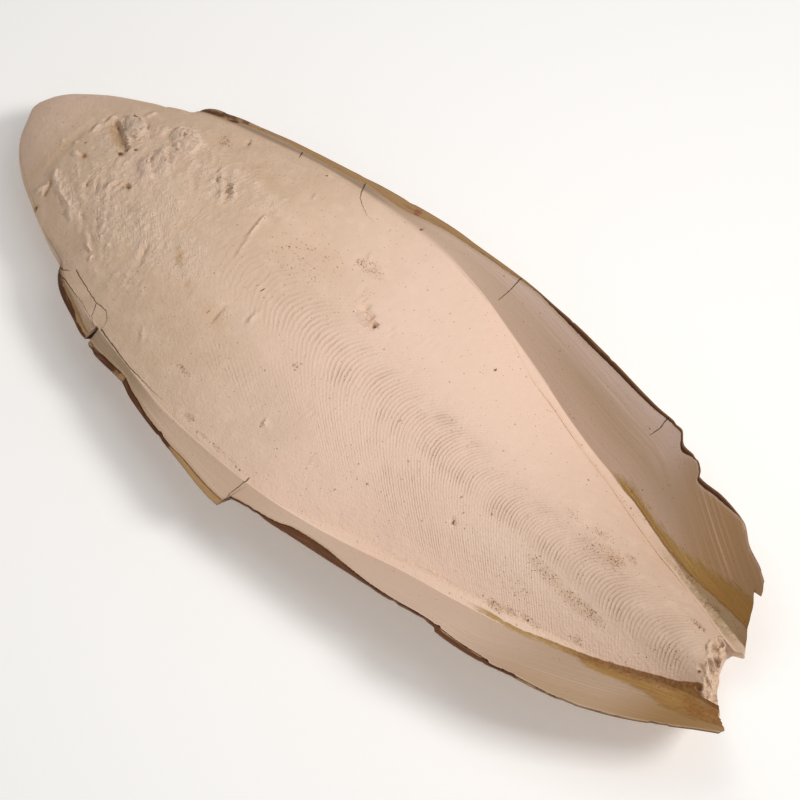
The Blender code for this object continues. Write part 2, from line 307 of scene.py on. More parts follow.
damage = {
    # scoops: x, y, half length, half width, depth, turn in degrees, steepness
    "scoops": [
        (-68.3, 3.2, 0.8, 0.6, 0.6, 0, 0.6), (-68.2, 1.7, 0.9, 0.6, 0.4, -20, 0.6),
        (-73.6, 10.8, 0.8, 0.4, 0.4, -10, 0.6), (-73.8, -2.9, 1, 0.4, 0.5, -10, 0.6),
        (-76, -0.5, 0.3, 0.5, 0.3, 0, 0.6), (-73.4, -0.3, 0.5, 0.3, 0.3, -40, 0.6),
        (-66.7, 4.4, 0.35, 0.7, 0.4, 10, 0.6), (-7.5, 8.6, 0.7, 0.5, 0.6, -20, 0.6),
        (13.8, 18.7, 0.7, 0.25, 0.3, -8, 0.7), (-57, 18.2, 0.7, 0.9, 0.2, 0, 0.6),
        (-61.3, -3, 0.8, 0.35, 0.35, -20, 0.6), (-9, 0.5, 0.3, 0.3, 0.3, 0, 0.6),
        (-5.5, -6.8, 0.35, 0.3, 0.3, 0, 0.6), (-16.9, 12, 0.3, 0.3, 0.3, 0, 0.6),
        (-78.5, -2, 1.2, 9, 0.2, 4, 1), (80.6, 4.4, 1.2, 0.7, 0.9, 0, 1.1),
        (81.9, 3, 0.8, 1.1, 0.8, 20, 1.1), (82.5, 1, 1, 1.1, 1, 0, 1.1),
        (82, -1.4, 0.9, 0.6, 0.6, 0, 1.1), (84.2, -1.8, 0.8, 0.9, 0.7, 0, 1.1),
        (83.8, -3.9, 0.8, 0.5, 0.5, 0, 1.1), (80.9, 1.2, 0.5, 0.7, 0.4, 0, 1.1)],
    # raised lumps: the same numbers
    "lumps": [
        (-71.6, 8.9, 3.6, 2, 0.9, -32, 0.45), (-61.8, 12.9, 4.2, 2.9, 0.65, -32, 0.4),
        (-75.4, -3.4, 1.1, 0.7, 0.5, 5, 0.6), (-77.6, -1.4, 0.5, 0.45, 0.28, 0, 0.6),
        (-80.2, -2.6, 0.45, 0.35, 0.22, 0, 0.6), (-78.6, -3.1, 0.4, 0.3, 0.2, 0, 0.6),
        (-38.3, 15.8, 0.6, 0.35, 0.3, 50, 0.6), (-53.6, -4.8, 1.2, 0.8, 0.28, 20, 0.6),
        (-51.2, 0.6, 0.9, 0.4, 0.25, -20, 0.6), (-7.6, -20, 1.3, 0.4, 0.25, -10, 0.6),
        (-76.2, -12.4, 1.2, 0.7, 0.35, 60, 0.6), (-66.6, 11.6, 1.6, 0.8, 0.25, -60, 0.5)],
    # steep on the left and gentle on the right: x and y of both ends, both widths, depth
    "steps": [
        (-76.2, 8, -67.9, 3.4, 0.35, 3.2, 1.3), (-62.7, 8.2, -57.4, 4, 0.4, 3.4, -1.2),
        (-63.6, 4.1, -59, 1.2, 0.4, 2.6, -1), (-49.3, -9.8, -47.1, -13.6, 0.3, 1.4, 0.5),
        (-29.5, -8.8, -29, -12.6, 0.4, 1.6, 0.5), (-54.8, 23.3, -53.4, 20.7, 0.25, 0.9, 0.5),
        (-11.8, 10.3, -6.8, 8.5, 0.3, 2.4, 1), (-14.3, 13, -12.4, 10.6, 0.25, 0.8, 0.45),
        (-5.1, 10.3, -2.7, 8.5, 0.2, 0.6, 0.35), (29.4, -9.8, 31, -10.6, 0.25, 0.6, 0.5),
        (-4.8, -11.7, -2.6, -13.1, 0.3, 0.9, 0.3), (2.9, -18.2, 4.3, -19.3, 0.25, 0.6, 0.3),
        (-60.3, 15.4, -58.6, 12.8, 0.3, 1.5, -0.2), (-58.6, 12.8, -58.5, 9.8, 0.3, 1.5, -0.2)],
    # strokes: x and y of both ends, width, depth; a negative depth stands up
    "strokes": [
        (-72.4, 10.7, -68.3, 7.4, 0.3, 0.3), (-73.9, 9, -69.2, 5.9, 0.3, 0.22),
        (-71.4, 11.4, -66.6, 8.3, 0.25, 0.2), (-76.9, 8.6, -76.6, 5.3, 0.45, -0.45),
        (-77.5, 4.8, -76.6, 1.9, 0.4, -0.32), (-74.8, 9.3, -73.9, 11.1, 0.35, -0.32),
        (-72.6, 15, -72.3, 12.1, 0.5, -0.3), (-75.4, -10.3, -74.5, -13.3, 0.3, 0.35),
        (-76.5, -8, -74.2, -10.4, 0.5, -0.32), (-74.3, -10.4, -70.5, -11.2, 0.4, -0.25),
        (-70.9, -11.4, -67.5, -12.7, 0.45, -0.32), (-68.4, -12.8, -65.3, -14.1, 0.4, -0.3),
        (-64.4, -7.3, -63.8, -3.1, 0.4, -0.32), (-63.3, -5.3, -62.3, -2.7, 0.35, -0.25),
        (-62.5, -2.6, -60.5, -3.4, 0.25, 0.3), (-69.2, -6, -67.8, -7.7, 0.25, 0.22),
        (-67.6, -5.2, -65.9, -7, 0.25, 0.22), (-60.2, -4.5, -56.3, -7.5, 0.25, 0.24),
        (-58.9, -3.9, -55.5, -7.1, 0.25, 0.22), (-66.3, -11, -62.2, -14, 0.3, 0.22),
        (-62, -13, -57.8, -15.9, 0.3, 0.2), (-60, -15.6, -56.9, -17.2, 0.25, -0.16),
        (-56.7, -17, -56, -18.4, 0.3, -0.2), (-64.2, 14.9, -60.3, 13.1, 0.25, 0.22),
        (-63.3, 13.6, -60.8, 12.4, 0.25, 0.2), (-64.9, 15.4, -64.6, 12.5, 0.4, -0.3),
        (-50.9, 12.6, -44.2, 6.6, 0.35, 0.22), (-47.8, 12.6, -43.7, 9.3, 0.35, 0.2),
        (-49.3, 10, -45.8, 7.1, 0.3, 0.18), (-52.1, 13, -50.8, 11.3, 0.35, -0.35),
        (-50.2, 11, -46, 7, 0.35, -0.3), (-49, 12.8, -44.6, 8.6, 0.35, -0.35),
        (-51.6, 10.4, -48.6, 6.6, 0.3, -0.2), (-38.4, 10.8, -35, 11.2, 0.25, 0.18),
        (-38, 10.5, -36.3, 4, 0.4, -0.3), (-36.3, 4.7, -34.8, -0.9, 0.35, -0.2),
        (-50, -6.2, -45, -8.7, 0.25, 0.1), (-40, -9.6, -35.4, -11.7, 0.25, 0.1),
        (-24.4, -5.1, -23.8, -8.5, 0.5, -0.22), (-38.7, -21.7, -36.5, -23.9, 0.3, -0.16),
        (-19, 19.7, -16.7, 15.1, 0.35, -0.14), (-36.1, 22.4, -34.7, 20.3, 0.25, -0.16),
        (-1.8, 11.9, 12.8, 18.3, 0.2, 0.06), (-55.5, 8.6, -51.2, 5.2, 0.3, 0.16),
        (-55.8, 11, -53.5, 8.2, 0.3, 0.14), (-46.5, 28.6, -43, 27.3, 0.2, 0.1),
        (-8.6, -18.9, -7.7, -21, 0.3, -0.16), (-4.6, -11.8, -3.2, -13.2, 0.3, -0.16),
        (2.8, -18.2, 3.5, -19.8, 0.25, -0.14), (-31.2, -11.2, -29.2, -8.4, 0.3, -0.16),
        (-14.2, 13.2, -12.9, 10.4, 0.3, -0.16), (-9.6, -7.9, -5.4, -3.4, 0.25, -0.08),
        (-5.4, -3.4, -2.2, -1.6, 0.25, -0.08), (-26.2, -8.8, -23, -6.5, 0.3, -0.1),
        (-65.8, -11.6, -57.8, -16.9, 0.25, -0.1), (-44.3, -6, -40.5, -8.8, 0.25, -0.12),
        (-40.5, -8.8, -34.9, -11.9, 0.25, -0.1)],
    # scraped and crumbled ground: x, y, half length, half width, turn in degrees, how much
    "worn": [
        (-69.5, -11.2, 8.5, 1.7, -22, 1), (-60.5, -9, 7.5, 4.2, -30, 0.8),
        (-51, -7.5, 8, 4.5, -25, 0.8), (-72, 4.6, 5.8, 3.4, -30, 0.9), (-70.6, 9, 5, 2.4, -25, 0.8),
        (-61, 6.2, 4.4, 3.2, -42, 1), (-62.4, 2.2, 3.2, 1.9, -30, 1),
        (-61.8, 12.9, 4.4, 3.2, -32, 0.9), (-48, 9.8, 5.2, 3.2, -42, 0.9),
        (-53.5, 9.5, 2.6, 2.4, -40, 0.5), (-64, -4.6, 2, 3, 20, 0.7), (-42, -6, 7, 5, -20, 0.4),
        (-40, 13.5, 6, 3, 0, 0.3), (-9.8, 8, 2.2, 1.6, -20, 0.6), (-28.6, -10.4, 2.6, 2.6, 0, 0.3),
        (-57, 19, 3, 1.6, 10, 0.3), (-76.8, 4.5, 1.6, 3.8, 0, 0.6), (-52.5, -1, 4, 3, -30, 0.45)],
    "strokeTurn": 138.0,
}
# brown dirt
dirt = {
    # where specks lie: x, y, half length, half width, how thick
    "clouds": [
        (45.6, -15.6, 2.2, 0.9, 1), (48.6, -14.6, 1.6, 0.8, 0.7), (52.5, -13.6, 3, 0.9, 0.5),
        (54.5, 3.4, 6.5, 3.4, 0.45), (57, 4, 2.6, 2, 0.75), (49, -6.2, 6, 1.6, 0.5),
        (58.5, -6.6, 7.5, 1.5, 0.55), (46, 5.6, 3.5, 1, 0.35), (46, -11, 5, 2.6, 0.25),
        (51, 6.6, 4, 1.4, 0.45), (78, -7.6, 3.4, 1, 0.8), (70.5, -10.2, 3.6, 0.7, 0.8),
        (86, -5.4, 3, 0.9, 0.6), (74, -8.8, 2.4, 0.7, 0.6), (58.5, 6.6, 2.2, 1.2, 0.6),
        (-15.8, 17, 3.6, 2.2, 0.5), (-18.8, 16.4, 1.2, 1.2, 0.8), (-26.6, -22.6, 2.2, 0.8, 0.8),
        (-19.2, -28.2, 1.6, 0.8, 0.9), (-12, -29.1, 9, 0.4, 0.6), (-11.5, -8, 1.2, 0.8, 0.8),
        (-26, 9, 9, 7, 0.2), (-57, 18.5, 1.8, 1.8, 0.6), (-46, -16.5, 4, 3, 0.22),
        (51.5, 16.2, 6, 1, 0.35), (74, 10.7, 4, 0.5, 0.9), (64, 12.4, 8, 0.7, 0.35),
        (76, 5, 2.4, 0.7, 0.9), (76, -2.6, 4, 2.2, 0.3), (71, -8.4, 4, 0.6, 0.3), (61, -11, 2, 1, 0.5)],
    "everywhere": 0.022,
    # single stains: x, y, radius
    "spots": [
        (30.3, -10.2, 0.5), (-7.5, 8.7, 0.6), (-10.2, 9.6, 0.4), (-9, 0.5, 0.3), (-5.5, -6.8, 0.3),
        (-16.9, 12, 0.3), (-23.8, 12.2, 0.3), (-26.8, 8.6, 0.35), (-21.1, 5.4, 0.25),
        (-26.8, -1.4, 0.28), (-28.3, -2.1, 0.25), (-30.9, -11.7, 0.3), (-35.7, -3.3, 0.28),
        (-12.5, -10.3, 0.3), (14, 18.7, 0.45), (28.3, -6.1, 0.3), (30.5, -7.9, 0.22), (9.9, -2.8, 0.2),
        (-68.3, 1.8, 0.8), (-68.2, 3.3, 0.6), (-73.6, 10.8, 0.7), (-73.7, -2.9, 0.7),
        (-72.4, -7.1, 0.25), (-76, -0.5, 0.3), (-61, -3, 0.6), (-54, 22, 0.5), (-74.4, -15.6, 0.6),
        (80.5, 4.4, 1), (81.9, 3.1, 0.9), (82.5, 1, 1.2), (82.2, -2, 0.55), (84.2, -1.8, 0.9),
        (83.8, -3.9, 0.8), (76.4, 4.6, 0.4), (79, 7.6, 0.4), (-17, 31.3, 0.5), (-38.3, 27.4, 0.4),
        (48.2, 18.8, 0.35), (55.6, 16.2, 0.3), (64.8, 13.3, 0.35), (60.3, 13.6, 0.25),
        (-66.7, 4.4, 0.4), (37.9, -27, 0.2), (10.9, -27.2, 0.3), (41.2, 14.4, 0.25)],
    # yellow-brown smears: x, y, half length, half width, turn in degrees, strength
    "smears": [
        (-72.6, 4.7, 5, 1.6, -30, 1), (-42.6, -7.5, 2.8, 1, -38, 0.9),
        (-37.5, -10.5, 2.6, 0.4, -25, 0.5), (-29.5, -11.5, 4.5, 2.4, -10, 0.35),
        (-9, 8.4, 1.6, 0.9, -15, 0.4), (-61.5, -2.9, 2, 0.8, -10, 0.5), (-73.8, -3, 1.6, 0.7, 0, 0.6),
        (-74.6, -15.4, 1.4, 0.8, 20, 0.8), (-57, 18.6, 2.2, 2, 0, 0.3), (-24, 11.5, 6, 3, 20, 0.2),
        (82.5, 1.5, 3, 4, 0, 0.4), (-79, -6, 2, 9, -12, 0.3), (-45, 18, 12, 3, -5, 0.2),
        (56, 4, 3, 2, 0, 0.25), (56, -6.8, 9, 1.4, 0, 0.25), (47, -15.2, 3.5, 1, 10, 0.3)],
    "rust": (-20.2, 33.6, 1.3),
}
# fine cracks and seams as lines of points, with their width; far apart within a group
cracks = {
    "crackOne": [
        (0.13, [(-62, -21.4), (-60, -21.9), (-58.6, -21.5)]),
        (0.11, [(-57.4, -20.8), (-55, -21.6), (-49.5, -23.2), (-46.6, -23.3), (-45.2, -24.4),
             (-44.8, -25.9)]),
        (0.14, [(-45, -26.3), (-40, -27.4), (-35.2, -28.4), (-32, -28.6), (-28.5, -29)]),
        (0.18, [(-45.9, 28.4), (-45.2, 26.8)]),
        (0.16, [(-32, 31.4), (-31, 29.4), (-30.2, 28.2)]),
        (0.14, [(5, 35.8), (4.7, 33), (3.9, 30.2)]),
        (0.15, [(45.9, 30.4), (45.7, 28.6), (44.7, 26.9)]),
        (0.13, [(-3, -29.2), (-3.1, -31), (-2.9, -34), (-2.5, -35.4)])],
    "crackTwo": [
        (0.09, [(-60, -22.8), (-56, -23.7), (-52, -24.6), (-48.4, -25.9), (-46, -26.4)]),
        (0.07, [(-30.2, 28.2), (-28, 26.8), (-26, 25.8), (-23.5, 25.8)])],
    "crackThree": [
        (0.09, [(-49.3, -23.3), (-48.7, -24.6), (-48.4, -25.4), (-46.7, -26.6), (-45.2, -26.7)]),
        (0.05, [(-28.5, -29), (-25, -28.9)])],
}

grainA, grainB, grainC, grainD = (Grain(seed) for seed in (11, 23, 37, 51))


def scoopField(x, y, scoops):
    total = 0
    for sx, sy, length, width, depth, turn, steep in scoops:
        u, v = turned(x - sx, y - sy, turn)
        inside = np.clip(1 - (u / length) ** 2 - (v / width) ** 2, 0, 1)
        total = total + depth * inside ** steep
    return total


def softField(x, y, patches, full, edge, ragged=0):
    # the strongest of some oval patches: whole within one share of their size, gone at another
    total = 0
    for sx, sy, length, width, turn, strength in patches:
        u, v = turned(x - sx, y - sy, turn)
        away = np.hypot(u / length, v / width) + ragged
        total = np.maximum(total, strength * (1 - ramp(away, full, edge)))
    return total


def alongLine(x, y, x0, y0, x1, y1):
    dx, dy = x1 - x0, y1 - y0
    length = math.hypot(dx, dy)
    t = ((x - x0) * dx + (y - y0) * dy) / length
    return t, ((y - y0) * dx - (x - x0) * dy) / length, length


def stepField(x, y):
    total, waver, uneven = 0, 0.22 * grainB.at(x, y, 1.4, 2), 1 + 0.15 * grainC.at(x, y, 0.9, 2)
    for *ends, steep, gentle, depth in damage["steps"]:
        t, off, length = alongLine(x, y, *ends)
        off = off + waver
        fade = ramp(t, -0.3, 0.16 * length) * (1 - ramp(t, 0.86 * length, length + 0.4))
        slope = (1 - np.clip(-off / gentle, 0, 1)) ** 1.5
        wall = np.where(off > 0, 1 - ramp(off, 0, steep), slope)
        total = total - depth * fade * wall * uneven
    return total


def strokeField(x, y):
    total, waver, uneven = 0, 0.22 * grainB.at(x, y, 1.6), 0.75 + 0.5 * grainA.at(x, y, 1.2)
    for *ends, width, depth in damage["strokes"]:
        t, off, length = alongLine(x, y, *ends)
        fade = ramp(t, -0.1 * length, 0.25 * length) * (1 - ramp(t, 0.7 * length, 1.1 * length))
        off = off + waver
        profile = np.exp(-(off / width) ** 2) - 0.5 * np.exp(-((off + 1.5 * width) / width) ** 2)
        total = total - depth * fade * uneven * profile
    return total


def wornField(x, y):
    patches = softField(x, y, damage["worn"], 0.4, 1.3, 0.3 * grainA.at(x, y, 2.5, 2))
    # and a little of it all over the front
    return np.maximum(patches, 0.36 * hump(x, -58, 28) * hump(y, -1, 21))


def ropes(grain, length, width, octaves):
    # ridges that follow the strokes, 1 along their tops
    return 1 - 2 * np.abs(grain.streaks(px, py, damage["strokeTurn"], length, width, octaves))


def crackField(x, y, lines):
    # signed distance to the nearest line, and how strongly it shows there
    farOff = 9.0
    near, strength = np.full(x.shape, farOff), np.zeros(x.shape)
    for width, points in lines:
        for k, (first, second) in enumerate(zip(points, points[1:])):
            t, off, length = alongLine(x, y, *first, *second)
            past = np.maximum(np.maximum(-t, t - length), 0)
            closer = np.hypot(off, past) < np.abs(near) - 1e-6
            near = np.where(closer, np.where(past > 0.3, farOff, off), near)
            share = (k + np.clip(t / length, 0, 1)) / (len(points) - 1)
            tapered = width * (1.2 - 0.8 * share) * (1 - ramp(past, 0, 0.3))
            strength = np.where(closer, tapered, strength)
    return near, strength


# columns across and rows along, close where the growth lines are
weave = {
    "rowStep": {-92: 0.28, -60: 0.33, -45: 0.28, 10: 0.25, 40: 0.215}, "noseStep": 0.12,
    "fixedRows": [-68.3, -67.9, -46.6, -46.25, -45.6, -45.3, -2.6, -1.9], "fineStep": 0.15,
    "fanRows": 110, "bodyColumns": 47, "bodyCrowding": 1.25, "ledgeColumns": 4, "wingColumns": 15,
    "bandPlaces": [0, 0.1, 0.55, 1], "underBowl": 22,
    "underWing": [1, 0.86, 0.72, 0.58, 0.44, 0.3, 0.15],
}


def rowStations():
    rows = list(noseX + weave["noseStep"] * np.arange(6))
    while rows[-1] < tail["fanStart"]:
        beside = min(abs(rows[-1] - fixed) for fixed in weave["fixedRows"]) < 0.6
        step = np.interp(rows[-1], list(weave["rowStep"]), list(weave["rowStep"].values()))
        rows.append(rows[-1] + (weave["fineStep"] if beside else float(step)))
    rows = np.array(rows)
    for fixed in weave["fixedRows"]:
        # on an even row, so that the wings have it too
        rows[2 * np.argmin(np.abs(rows[::2] - fixed))] = fixed
    rows[-1] = tail["fanStart"]
    odd = np.arange(1, len(rows) - 1, 2)
    rows[odd] = 0.5 * (rows[odd - 1] + rows[odd + 1])
    # one row fewer than the total is a multiple of four, for the wider cells below
    spare = -(len(rows) + weave["fanRows"] - 1) % 4
    return rows, np.linspace(0, 1, weave["fanRows"] + spare + 1)[1:]


straightRows, fanShares = rowStations()
rowCount = len(straightRows) + len(fanShares)


def columnX(side, across, zone):
    # straight rows up to the fan, whose rows close up towards the broken end
    place = placeAcross(side, across, zone)
    reach = tailReach(place)
    if zone != "bowl":
        crumble = grainC.at(np.array(place * tail["crumbs"]), np.array(3.0), 1, 3)
        reach += tail["ragged"] * float(crumble) - tail["drawnIn"]
    return np.concatenate([straightRows, tail["fanStart"] + (reach - tail["fanStart"]) * fanShares])


def bandShare(x, side):
    # part of the wing's width where the brown layer shows
    whole = np.abs(rimY(x, side) - foldY(x, side))
    return np.minimum(bandWidth[side](x) / np.maximum(whole, 0.1), 0.75), whole


def wingPoint(x, side, w):
    fold, rim = foldY(x, side), rimY(x, side)
    y = fold + (rim - fold) * w
    share = evenShare(x, y, side, w)
    return y, edgeZ(x) + (rimZ(x) - edgeZ(x)) * (0.9 * share + 0.1 * share * share)


def underPoint(x, side, t, zone):
    middle, inner, bend = middleY(x), foldY(x, side), underEdgeZ(x)
    if zone == "wing":
        outer, top = rimY(x, side), wingPoint(x, side, 1)[1] - rimThick(x)
        y = inner + (outer - inner) * t
        z = between(t, bend, top, height["underSlope"] * np.abs(outer - inner), 0.35 * (top - bend))
    else:
        y = middle + (inner - middle) * t
        z = between(t, keelZ(x), bend, 0, height["underSlope"] * np.abs(inner - middle))
    return y, np.maximum(z, 0)


def bodyPoint(x, side, t):
    edge = edgeZ(x)
    ledge = height["ledgeDrop"] * ramp(x, 0, 30)
    # the flanks meet the flat ledge softly towards the tail
    blunt, soft = 1 - t ** 2.2, (1 - t ** 2) ** 1.2
    z = edge + ledge + (crestZ(x) - edge - ledge) * (blunt + (soft - blunt) * ramp(x, -5, 30))
    z = z - height["lineDepth"] * ramp(x, 0, 30) * t ** 20
    return middleY(x) + (lineY(x, side) - middleY(x)) * t, z


bodyKind, ledgeKind, wingKind, underKind = range(4)
noBand = -9.0


class Skin:
    # columns of points; each holds every row, or every second or fourth
    def __init__(self):
        self.columns, self.parts, self.count = [], [], 0

    def column(self, stride, kind, side, x, y, z, wing=0, band=noBand, tear=0):
        facts = [np.broadcast_to(fact, (rowCount,))[::stride]
                 for fact in (kind, side, x, y, z, wing, band, tear)]
        length = len(facts[0])
        self.columns.append((stride, self.count, length))
        self.parts.append(facts)
        self.count += length

    def gathered(self):
        return [np.concatenate(fact).astype(float) for fact in zip(*self.parts)]


skin = Skin()


def addBody(side, t):
    x = columnX(side, t, "body")
    y, z = bodyPoint(x, side, t)
    lip = underPoint(x, side, t * 0.85, "bowl")[1] + tail["lip"]
    cut = tailReach(placeAcross(side, t, "body")) + 0.9 * grainD.at(x, y, 1.6, 2)
    start = cut - tail["breakLength"]
    z = z + (np.minimum(lip, z) - z) * ramp(x, start, cut)
    skin.column(1, bodyKind, side, x, y, z, tear=ramp(x, start - 0.5, start + 0.7))


def addLedge(side, t):
    x = columnX(side, t, "ledge")
    line, fold = lineY(x, side), foldY(x, side)
    z = edgeZ(x) + height["ledgeDrop"] * ramp(x, 0, 30) * (1 - t)
    skin.column(2, ledgeKind, side, x, line + (fold - line) * t, z)


def addWing(side, t, inBand):
    # t goes across the brown band, or across the wing inside it
    atFan = float(bandShare(np.array([tail["fanStart"]]), side)[0][0])
    x = columnX(side, 1 - atFan * (1 - t) if inBand else (1 - atFan) * t, "wing")
    share, whole = bandShare(x, side)
    w = 1 - share * (1 - t) if inBand else (1 - share) * t
    y, z = wingPoint(x, side, w)
    shown = ramp(share * whole, 0.1, 0.45)
    if inBand and t >= weave["bandPlaces"][1]:
        z = z - rimBand["step"] * shown * (1 - 0.5 * t)
    band = np.where(shown > 0, (w - (1 - share)) * whole, noBand)
    skin.column(2, wingKind, side, x, y, z, wing=evenShare(x, y, side, w), band=band)


def addOuter(side):
    # from the rim in to the body
    for t in weave["bandPlaces"][::-1]:
        yield addWing, (side, t, True)
    for t in np.linspace(0, 1, weave["wingColumns"] + 1)[-2::-1] ** 1.1:
        yield addWing, (side, float(t), False)
    for k in reversed(range(weave["ledgeColumns"])):
        yield addLedge, (side, k / weave["ledgeColumns"])


def addBodyColumns():
    crowding = weave["bodyCrowding"]
    for t in np.sin(np.linspace(-crowding, crowding, 2 * weave["bodyColumns"] + 1)):
        t = t / math.sin(crowding)
        addBody(-1 if t < 0 else 1, float(abs(t)))


def addUnder():
    under = [(1, "wing", t) for t in weave["underWing"]]
    bowl = np.linspace(1, -1, 2 * weave["underBowl"] + 1)
    under += [(1 if t > 0 else -1, "bowl", float(abs(t))) for t in bowl]
    under += [(-1, "wing", t) for t in reversed(weave["underWing"])]
    for side, zone, t in under:
        x = columnX(side, t, zone)
        # the near wing is split through, so its rows are closer
        stride = 2 if zone == "wing" and side < 0 else 4
        skin.column(stride, underKind, side, x, *underPoint(x, side, t, zone), t * (zone == "wing"))


for add, values in addOuter(-1):
    add(*values)
addBodyColumns()
for add, values in reversed(list(addOuter(1))):
    add(*values)
topColumns = len(skin.columns)
addUnder()
kind, side, px, py, pz, wing, band, tear = skin.gathered()
onBody, onWing, isUnder = (kind == k for k in (bodyKind, wingKind, underKind))
print("cuttlebone:", rowCount, "rows,", len(skin.columns), "columns,", skin.count, "points")


def bySide(curves):
    return np.where(side > 0, curves[1](px), curves[-1](px))


def byStation(points):
    # straight from one station along the bone to the next
    return np.interp(px, list(points), list(points.values()))


def outlineGap():
    # distance in plan from every point to the outline
    along = np.concatenate([straightRows, np.linspace(tail["fanStart"] + 0.3, tail["nearEnd"], 60)])
    nearSide = np.stack([along, rimY(along, -1)], 1)[::-1]
    nose = np.stack([np.full(5, noseX), np.linspace(0, 2.2, 5)], 1)
    farSide = np.stack([along, rimY(along, 1)], 1)[along < tail["farEnd"]]
    rims = np.concatenate([nearSide, nose, farSide])
    gaps = []
    for part in np.array_split(np.stack([px, py], 1), 80):
        nearest = ((part[:, None] - rims) ** 2).sum(2).argmin(1)
        least = np.inf
        for first in (nearest, nearest - 1):
            first = np.clip(first, 0, len(rims) - 2)
            start, stretch = rims[first], rims[first + 1] - rims[first]
            t = ((part - start) * stretch).sum(1) / np.maximum((stretch ** 2).sum(1), 1e-9)
            off = part - start - np.clip(t, 0, 1)[:, None] * stretch
            least = np.minimum(least, np.hypot(*off.T))
        gaps.append(least)
    return np.concatenate(gaps)


rimGap = outlineGap()
fold = side * py - bySide(foldOut)
line = fold + bySide(ledgeWidth)
layers, layerOff = layerCount(px, py)
uneven = byStation({-93: 0.5, -30: 0.42, 0: 0.2, 94: 0.12})
layers += uneven * grainD.at(px, py, 2.4, 3) + 0.06 * grainB.at(px, py, 0.7)


def layerStrength():
    # clear along the middle, weaker down the near flank and faint on the far one
    away = np.abs(layerOff - byStation({-10: -0.4, 10: 0.2, 45: 1.1, 80: 1.2}))
    reach = byStation({-40: 6, 0: 5, 35: 4.2, 45: 3.5, 90: 3.8})
    middle = 1 - ramp(away, 0.7 * reach, 1.5 * reach)
    flank = ramp(-layerOff, 2, 6) * (1 - ramp(-layerOff, 12, 21)) * byStation(
        {-40: 0.12, -10: 0.3, 5: 0.5, 40: 0.4, 60: 0.2})
    comb = hump(layerOff, -17, 5.5) * hump(px, -22, 26) * 0.6
    farFlank = ramp(layerOff, 2, 5) * (1 - ramp(layerOff, 8, 13)) * 0.28
    total = np.maximum(np.maximum(middle, flank), np.maximum(comb, farFlank))
    total *= byStation({-46: 0, -30: 0.35, -15: 0.7, 0: 1, 72: 1, 79: 0.5, 82: 0})
    patchy = np.clip(0.75 + 0.7 * grainD.at(px + 9, py, 4, 2), 0.15, 1.2)
    return total * patchy * onBody * (1 - tear) * ramp(rimGap, 1, 3)


layerShow = layerStrength()
worn = wornField(px, py) * onBody


def carvedRelief():
    # lumps, crests, strokes, steps, worn ground and scoops
    flaky = hump(px, -60, 34) * ramp(-px, 78, 72) * ramp(rimGap, 4, 9)
    flaky *= 0.35 + 0.65 * ramp(grainA.at(px + 40, py, 6, 2), -0.2, 0.4)
    total = scoopField(px, py, damage["lumps"]) * (1 + 0.45 * ropes(grainC, 2.4, 0.8, 2))
    total += 0.8 * flaky * np.clip(ropes(grainD, 3, 0.85, 2) - 0.55, 0, 1)
    total += 2.4 * strokeField(px, py) + stepField(px, py)
    # worn ground is ropy and crumbly, and a little lower than the skin round it
    total += worn * (0.4 * ropes(grainC, 2.6, 0.9, 3) + 0.32 * grainB.at(px, py, 0.8, 2))
    total -= 0.1 * ramp(worn, 0.3, 0.6)
    return total - scoopField(px, py, damage["scoops"]) * (1 + 0.18 * grainB.at(px, py, 1.1, 2))


def bodyRelief():
    wave = 2 * math.pi * layers
    ridges = np.cos(wave) + 0.3 * np.cos(2 * wave + 0.8)
    front = hump(px, -60, 45) * ramp(rimGap, 1.5, 6)
    total = 0.07 * layerShow * ridges * byStation({-30: 1, 0: 0.8, 30: 1, 80: 1.6})
    total *= 1 - 0.8 * ramp(-layerOff, 4, 8) * ramp(px, 30, 55)
    total += 0.12 * grainA.at(px, py, 9, 3) + 0.06 * grainB.at(px, py, 1.1, 3)
    total += front * (0.08 * grainD.at(px, py, 1.6, 3) + 0.1 * grainC.at(px, py, 4.5, 2))
    return total + tear * (0.7 * grainA.at(px, py, 2.4, 2) + 0.9 * grainB.at(px, py, 0.8, 2))


def fibreAcross():
    # runs across the wings' fibres, which leave the rim towards the tail
    alongRim = (wing - 1) * 12
    farLine = 0.865 * ((py - 20.8) + 0.579 * (px - 65))
    nearLine = 0.894 * (0.5 * (px - 60) - (py + 23))
    return alongRim + (np.where(side > 0, farLine, nearLine) - alongRim) * ramp(px, 46, 58)


fibre = fibreAcross()
carved = carvedRelief() * onBody


def allRelief():
    onLedge = (line > 0.3) & (fold < -0.2) & (px > 58) & (side > 0)
    # the body runs softly into the wings over the front half
    soft = byStation({-66: 0, -55: 0.25, -10: 0.3, 14: 0}) * np.where(side > 0, 1, 0.5)
    soft *= np.exp(-(fold / 1.3) ** 2) * ramp(rimGap, 0.3, 1.2) * ~isUnder
    # the edge is thick and rounded at the nose and thin along the wings
    roundness = byStation({-93: 1.2, -80: 0.8, -68: 0.5, -55: 0.3, 95: 0.25})
    roll = roundness * (1 - np.sqrt(1 - np.clip(1 - rimGap / roundness, 0, 1) ** 2))
    return (bodyRelief() * onBody + carved + soft + roll * np.where(isUnder, 0.8, -1)
            + 0.04 * onWing * grainB.at(px / 22, fibre, 0.9, 2)
            + 0.07 * (onWing & (band > 0)) * grainC.at(px / 3, py, 1.1, 2)
            + 0.12 * onLedge * grainC.at(px, py, 1.2, 3)
            - 0.12 * isUnder * grainA.at(px, py, 2.4, 3) * ramp(pz, 0, 0.6))


pz = np.maximum(pz + allRelief(), 0)
# the highest crumbs stay close to the top of the solid
topZ, over = 18.8, 0.5
pz = np.where(pz > topZ, topZ + over * np.tanh((pz - topZ) / over), pz)
